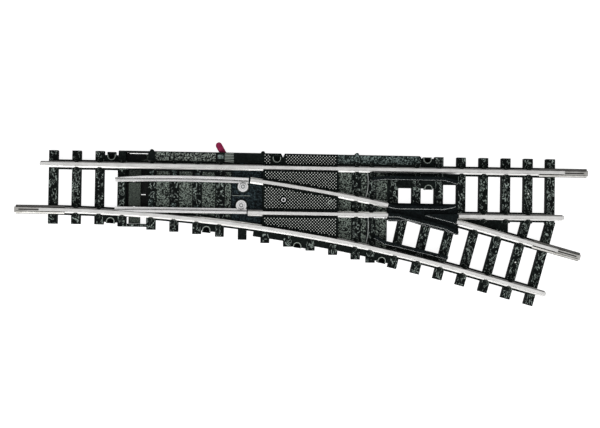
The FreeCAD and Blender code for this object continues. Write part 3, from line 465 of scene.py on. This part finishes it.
def knurl(mesh, crest, x, y, level):
    """Truncated pyramid with its corners along X and Y, if the whole of it stands on the deck."""
    foot, crown, height = KNURL_PITCH * 0.46, KNURL_PITCH * 0.14, KNURL_PITCH * 0.3
    sink = 0.01 * MM
    corners = [(1, 0), (0, 1), (-1, 0), (0, -1)]
    spots = [(x + dx * foot, y + dy * foot) for dx, dy in corners]
    if any(abs(TOP(*spot) - level) > LEVEL_TOLERANCE for spot in spots):
        return
    low = [mesh.verts.new((*spot, level - sink)) for spot in spots]
    high = [mesh.verts.new((x + dx * crown, y + dy * crown, level + height)) for dx, dy in corners]
    # the tops get the full painted crest highlight
    for corner in high:
        corner[crest] = 1.0
    for k in range(4):
        mesh.faces.new((low[k], low[(k + 1) % 4], high[(k + 1) % 4], high[k]))
    mesh.faces.new(high)


def knurls(name, spans, level):
    """Staggered rows of knurls over stretches of one deck."""
    low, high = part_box("tie_base")
    mesh = bmesh.new()
    crest = mesh.verts.layers.float.new("crest")
    for start, end in spans:
        columns = int((end - start) / (KNURL_PITCH / 2))
        rows = int((high.y - low.y) / KNURL_PITCH)
        for i in range(columns):
            for j in range(rows):
                x = start + (i + 0.5) * KNURL_PITCH / 2
                y = low.y + (j + 0.5 * (i % 2)) * KNURL_PITCH
                knurl(mesh, crest, x, y, level)
    data = bpy.data.meshes.new(name)
    mesh.to_mesh(data)
    mesh.free()
    add_piece(name, data, "knurl_relief")


def knurled_decks():
    knurls("deck_knurls", [KNURLED_DECK], KNURLED_TOP)
    knurls("platform_knurls", PLATFORM_KNURL, PLATFORM_TOP)


# ---------------------------------------------------------------- small raised details

def tube(mesh, path, radius):
    """Six-sided bead along a path of points, with closed ends."""
    sides = 6
    turns = [2 * math.pi * n / sides for n in range(sides)]
    rings = []
    for k, point in enumerate(path):
        ahead = path[min(k + 1, len(path) - 1)] - path[max(k - 1, 0)]
        across = Vector((-ahead.y, ahead.x, 0)).normalized()
        ring = [point + across * radius * math.cos(t) + UP * radius * math.sin(t) for t in turns]
        rings.append([mesh.verts.new(corner) for corner in ring])
    for first, second in zip(rings, rings[1:]):
        for n in range(sides):
            mesh.faces.new((first[n], first[(n + 1) % sides], second[(n + 1) % sides], second[n]))
    mesh.faces.new(rings[0][::-1])
    mesh.faces.new(rings[-1])


def arc(centre, radius, first, last, steps=14):
    """Points on a level arc, with its angles in degrees."""
    angles = [math.radians(first + (last - first) * k / steps) for k in range(steps + 1)]
    return [centre + Vector((math.cos(a), math.sin(a), 0)) * radius for a in angles]


def slab(mesh, corners, bottom, top, inset=0.05 * MM):
    """Plate with a chamfered top edge on level corners given anticlockwise."""
    middle = sum(corners, Vector()) / len(corners)
    foot = [mesh.verts.new((c.x, c.y, bottom)) for c in corners]
    edge = [mesh.verts.new((c.x, c.y, top - inset)) for c in corners]
    inner = [c + (middle - c).normalized() * inset for c in corners]
    crown = [mesh.verts.new((c.x, c.y, top)) for c in inner]
    count = len(corners)
    for low, high in ((foot, edge), (edge, crown)):
        for n in range(count):
            mesh.faces.new((low[n], low[(n + 1) % count], high[(n + 1) % count], high[n]))
    mesh.faces.new(crown)
    mesh.faces.new(foot[::-1])


def finished(name, mesh, material, crest=1.0):
    """Piece made from a bmesh, with the same share of painted crest highlight all over."""
    bmesh.ops.recalc_face_normals(mesh, faces=mesh.faces)
    data = bpy.data.meshes.new(name)
    mesh.to_mesh(data)
    mesh.free()
    store_crest(data, np.full(len(data.vertices), crest))
    add_piece(name, data, material)


def spots_at(grid, marked):
    """Centres of the separate patches that a grid marks."""
    grid_x, grid_y = grid
    waiting = {(int(i), int(j)) for i, j in zip(*np.nonzero(marked))}
    centres = []
    while waiting:
        patch = [waiting.pop()]
        for i, j in patch:
            for step in ((i + 1, j), (i - 1, j), (i, j + 1), (i, j - 1)):
                if step in waiting:
                    waiting.remove(step)
                    patch.append(step)
        rows, columns = zip(*patch)
        centres.append(Vector((grid_x[rows, columns].mean(), grid_y[rows, columns].mean(), 0)))
    return centres


def top_centre(node):
    """Middle of the top of a CAD node's box."""
    low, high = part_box(node)
    return Vector(((low.x + high.x) / 2, (low.y + high.y) / 2, high.z))


def chair_rims(grid, tops):
    """Open ring of lighter plastic on every chair: a painted highlight on its rounded top."""
    radius = 0.33 * MM
    sweep = 200
    mesh = bmesh.new()
    for centre in spots_at(grid, at_level(tops, CHAIR_TOP)):
        start = 300 if centre.y > 0 else 120
        tube(mesh, arc(centre + UP * CHAIR_TOP, radius, start, start - sweep), 0.05 * MM)
    finished("chair_rims", mesh, "rim_plastic", crest=0.35)


def nail_cups():
    """For each nail cup: the middle of its rounded part, the direction in which it opens, and its hole."""
    inset = 0.15 * MM
    for mount in frame["record"]["mounts"]:
        if not mount["name"].startswith("nail_hole"):
            continue
        hole = Vector((mount["pos_m"][0], mount["pos_m"][1], 0))
        outward = Vector((0, 1, 0))
        if hole.y < 0:
            outward = (Vector((0, -BRANCH_RADIUS, 0)) - hole).normalized()
        yield hole + outward * inset, outward, hole


def pip_crowns(grid, tops):
    """Bright crown on each raised mould pip: a painted glint of light."""
    mesh = bmesh.new()
    for centre in spots_at(grid, at_level(tops, PIP_TOP)):
        outline = arc(centre, 0.17 * MM, 0, 330, 11)
        slab(mesh, outline, PIP_TOP - 0.02 * MM, PIP_TOP + 0.03 * MM, inset=0.03 * MM)
    finished("pip_crowns", mesh, "knurl_relief")


def cup_rims():
    """U-shaped bead of lighter plastic along the rim of every nail cup and blind cup: a painted highlight
    on the rim.
    """
    mesh = bmesh.new()
    cups = [(middle, outward) for middle, outward, _ in nail_cups()]
    for middle, outward in cups + BLIND_CUPS:
        heading = math.degrees(math.atan2(outward.y, outward.x))
        bend = arc(middle, CUP_RIM_RADIUS, heading - 90, heading - 270)
        reach = outward * 0.35 * MM
        path = [bend[0] + reach] + bend + [bend[-1] + reach]
        rim_top = max(TOP(point.x, point.y) for point in path)
        tube(mesh, [point + UP * rim_top for point in path], 0.08 * MM)
    finished("cup_rims", mesh, "rim_plastic")


def nail_hole_films():
    """Thin film of moulding flash that closes each nail hole from below."""
    mesh = bmesh.new()
    for _, _, hole in nail_cups():
        slab(mesh, arc(hole, 0.4 * MM, 0, 345, 23), 0.02 * MM, 0.15 * MM)
    finished("nail_hole_films", mesh, "sleeper_plastic")


def lever_pad(pivot):
    """Raised pad on the platform, on the toe side of the lever."""
    low = pivot + Vector((-1.85, -0.05, 0)) * MM
    high = pivot + Vector((-0.65, 0.85, 0)) * MM
    outline = [(low.x, low.y), (high.x, low.y), (high.x, high.y), (low.x, high.y)]
    mesh = bmesh.new()
    slab(mesh, [Vector((x, y, 0)) for x, y in outline], PLATFORM_TOP - 0.05 * MM, PLATFORM_TOP + 0.1 * MM)
    finished("lever_pad", mesh, "smooth_relief", crest=0.8)


def lever_ribs(pivot):
    """Slightly fanned ribs on the platform, on the heel side of the lever."""
    count = 6
    pitch = 0.31 * MM
    fan = 0.05 * MM
    mesh = bmesh.new()
    for n in range(count):
        y = pivot.y - 0.55 * MM + n * pitch
        start = Vector((pivot.x - 0.35 * MM, y, PLATFORM_TOP))
        end = Vector((pivot.x + 1.6 * MM, y + (n - (count - 1) / 2) * fan, PLATFORM_TOP))
        tube(mesh, [start, end], 0.09 * MM)
    finished("lever_ribs", mesh, "rim_plastic")


def heel_marks():
    """Ridge across the heel recess and the round mark on the knurled deck."""
    ridge_start = Vector((40.9 * MM, -1.22 * MM, SLEEPER_TOP))
    ridge_end = Vector((44.7 * MM, -1.22 * MM, SLEEPER_TOP))
    mark = Vector((61.95 * MM, -2.35 * MM, KNURLED_TOP + 0.12 * MM))
    mesh = bmesh.new()
    tube(mesh, [ridge_start, ridge_end], 0.06 * MM)
    tube(mesh, arc(mark, 0.36 * MM, 0, 300), 0.09 * MM)
    finished("heel_marks", mesh, "rim_plastic")


def deck_screw_marks():
    """Bright turned rim on the deck screw, and a dark disc inside it that paints the shade of its recess.
    """
    top = top_centre("deck_screw")
    rim = bmesh.new()
    tube(rim, arc(top, 0.4 * MM, 0, 360, 24), 0.12 * MM)
    finished("deck_screw_rim", rim, "turned_steel")
    # painted shade: a dark disc where the screw head's recess lies
    recess = bmesh.new()
    slab(recess, arc(top, 0.3 * MM, 0, 345, 23), top.z - 0.05 * MM, top.z + 0.02 * MM)
    finished("deck_screw_recess_shade", recess, "cover_plastic")


def rivet_rings():
    """Ring on the head of each heel rivet, sunk by a little more than half its thickness."""
    sink = 0.01 * MM
    for side in ("straight", "curved"):
        top = top_centre(side + "_heel_rivet") - UP * sink
        mesh = bmesh.new()
        tube(mesh, arc(top, 0.33 * MM, 20, 340, 20), 0.06 * MM)
        finished(side + "_rivet_ring", mesh, "tinned_wire")


def joiner_shade_lines():
    """Painted shadow lines along each joiner's lip folds, and painted shade in the seam along its floor
    beyond the end of its rail.
    """
    low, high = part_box("heel_joiner")
    rail_offset, half_width = (low.y + high.y) / 2, (high.y - low.y) / 2
    outer_fold = (half_width - 0.02 * MM, high.z - 0.25 * MM)
    inner_fold = (0.47 * MM, high.z - 0.01 * MM)
    for mount in frame["record"]["mounts"]:
        if not mount["name"].endswith("_track_joint"):
            continue
        outward = Vector(mount["axis"])
        left = UP.cross(outward)
        rail_end = Vector(mount["pos_m"]) + left * rail_offset
        mesh = bmesh.new()
        # painted shadow lines: dark beads along the folds of both lips
        for side in (-1, 1):
            for reach, height in (outer_fold, inner_fold):
                beside = rail_end + left * side * reach + UP * height
                tube(mesh, [beside - outward * 5.2 * MM, beside + outward * 5.1 * MM], 0.05 * MM)
        # painted shade: a dark strip laid in the seam
        half_seam = left * 0.12 * MM
        near, far = rail_end + outward * 0.1 * MM, rail_end + outward * 4.6 * MM
        seam = [near - half_seam, far - half_seam, far + half_seam, near + half_seam]
        slab(mesh, seam, SLEEPER_TOP - 0.09 * MM, SLEEPER_TOP + 0.02 * MM)
        finished(mount["name"].replace("_track_joint", "_joiner_shade_lines"), mesh, "seam_shadow")


def solder_lumps():
    """Lumps of solder along the foot of the straight closure rail, near the frog."""
    low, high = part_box("straight_closure_rail")
    distances_and_sizes = ((3.4, 0.5), (2.5, 0.62), (1.5, 0.45), (0.6, 0.6))
    mesh = bmesh.new()
    for n, (distance, size) in enumerate(distances_and_sizes):
        centre = Vector((high.x - distance * MM, low.y + 0.12 * MM, SLEEPER_TOP + 0.25 * MM))
        lump(mesh, centre, size * MM, n + 30)
    finished("solder_lumps", mesh, "steel")


def lump(mesh, centre, size, seed):
    """Uneven blob, longer along X and flattened from above."""
    rows, columns = 7, 12
    rings = []
    for i in range(1, rows):
        polar = math.pi * i / rows
        ring = []
        for j in range(columns):
            turn = 2 * math.pi * j / columns
            swell = 1 + 0.25 * lattice_noise(2.1 * math.cos(turn), 2.1 * math.sin(turn) + i, seed)
            reach = size * 0.5 * swell * math.sin(polar)
            height = size * 0.4 * math.cos(polar)
            offset = Vector((reach * 1.5 * math.cos(turn), reach * math.sin(turn), height))
            ring.append(mesh.verts.new(centre + offset))
        rings.append(ring)
    for first, second in zip(rings, rings[1:]):
        for j in range(columns):
            mesh.faces.new((first[j], second[j], second[(j + 1) % columns], first[(j + 1) % columns]))
    mesh.faces.new(rings[0])
    mesh.faces.new(rings[-1][::-1])


def small_details(grid, tops):
    chair_rims(grid, tops)
    pip_crowns(grid, tops)
    cup_rims()
    nail_hole_films()
    lever_pivot = top_centre("lever_pivot_pin")
    lever_pad(lever_pivot)
    lever_ribs(lever_pivot)
    heel_marks()
    deck_screw_marks()
    rivet_rings()
    joiner_shade_lines()
    solder_lumps()


# ---------------------------------------------------------------- studio

def area_light(name, place, aim, size, power):
    light = bpy.data.lights.new(name, "AREA")
    light.shape = "RECTANGLE"
    light.size, light.size_y = size
    light.energy = power
    lamp = bpy.data.objects.new(name, light)
    bpy.context.scene.collection.objects.link(lamp)
    lamp.location = place
    lamp.rotation_euler = (aim - place).to_track_quat("-Z", "Y").to_euler()


def make_sky():
    """Soft surround, brightest half way up the -Y side, dim at its foot and dark on the +Y side."""
    # share of the way from -Y to +Y, and the brightness there
    stops = [(0.0, 0.35), (0.09, 0.4), (0.14, 1.8), (0.3, 1.5), (0.5, 0.85), (0.6, 0.35), (1.0, 0.1)]
    faint_blue = 1.02
    world = bpy.data.worlds.new("studio")
    world.use_nodes = True
    tree = world.node_tree
    place = tree.nodes.new("ShaderNodeTexCoord")
    split = tree.nodes.new("ShaderNodeSeparateXYZ")
    tree.links.new(place.outputs["Generated"], split.inputs["Vector"])
    ramp = tree.nodes.new("ShaderNodeValToRGB")
    shift = tree.nodes.new("ShaderNodeMapRange")
    shift.inputs["From Min"].default_value = -1.0
    shift.inputs["From Max"].default_value = 1.0
    tree.links.new(split.outputs["Y"], shift.inputs["Value"])
    tree.links.new(shift.outputs["Result"], ramp.inputs["Fac"])
    elements = ramp.color_ramp.elements
    while len(elements) < len(stops):
        elements.new(0.5)
    for element, (position, level) in zip(elements, stops):
        element.position = position
        element.color = (level, level, level * faint_blue, 1)
    tree.links.new(ramp.outputs["Color"], tree.nodes["Background"].inputs["Color"])
    bpy.context.scene.world = world


def make_studio():
    centre = (CAD_BOX[0] + CAD_BOX[1]) / 2
    bpy.context.scene.view_settings.view_transform = "Standard"
    make_sky()
    place = centre + Vector((-0.12, -0.4, 0.42))
    area_light("key", place, aim=centre, size=(0.35, 0.2), power=0.4)


def make_floor():
    """Pale paper that is seen from above only, so that the underside can be looked at through it."""
    reach = 3.0
    height = CAD_BOX[0].z - 0.05 * MM
    corners = [(-reach, -reach), (reach, -reach), (reach, reach), (-reach, reach)]
    mesh = bpy.data.meshes.new("floor")
    mesh.from_pydata([(x, y, height) for x, y in corners], [], [(0, 1, 2, 3)])
    floor = bpy.data.objects.new("floor", mesh)
    bpy.context.scene.collection.objects.link(floor)
    s = Shader("floor_paper")
    s.set(Base_Color=(0.5, 0.5, 0.5, 1), Roughness=1.0)
    seen = s.tree.nodes.new("ShaderNodeLightPath").outputs["Is Camera Ray"]
    from_below = s.tree.nodes.new("ShaderNodeNewGeometry").outputs["Backfacing"]
    s.set(Alpha=s.ramp(from_below, 0.0, 1.0, 1.0, 0.0))
    s.set(Emission_Color=(1, 1, 1, 1), Emission_Strength=s.ramp(seen, 0.0, 1.0, 0.15, 0.9))
    mesh.materials.append(s.material)


def make_camera():
    """Camera almost straight above, tipped about X, leaned about Y and turned about Z by a little."""
    place = Vector((42.81, -11.02, 291.51)) * MM
    tip = Matrix.Rotation(math.radians(-1.203), 3, "X")
    lean = Matrix.Rotation(math.radians(2.524), 3, "Y")
    turn = Matrix.Rotation(math.radians(-0.941), 3, "Z")
    world_to_camera = turn @ lean @ tip
    data = bpy.data.cameras.new("camera")
    data.sensor_width = 36.0
    data.lens = 80.74
    data.clip_start = 0.01
    data.clip_end = 20.0
    camera = bpy.data.objects.new("camera", data)
    bpy.context.scene.collection.objects.link(camera)
    camera.matrix_world = Matrix.Translation(place) @ world_to_camera.transposed().to_4x4()
    bpy.context.scene.camera = camera


paint_cad_nodes()
small_details(*textured_tops())
knurled_decks()
make_studio()
make_floor()
make_camera()
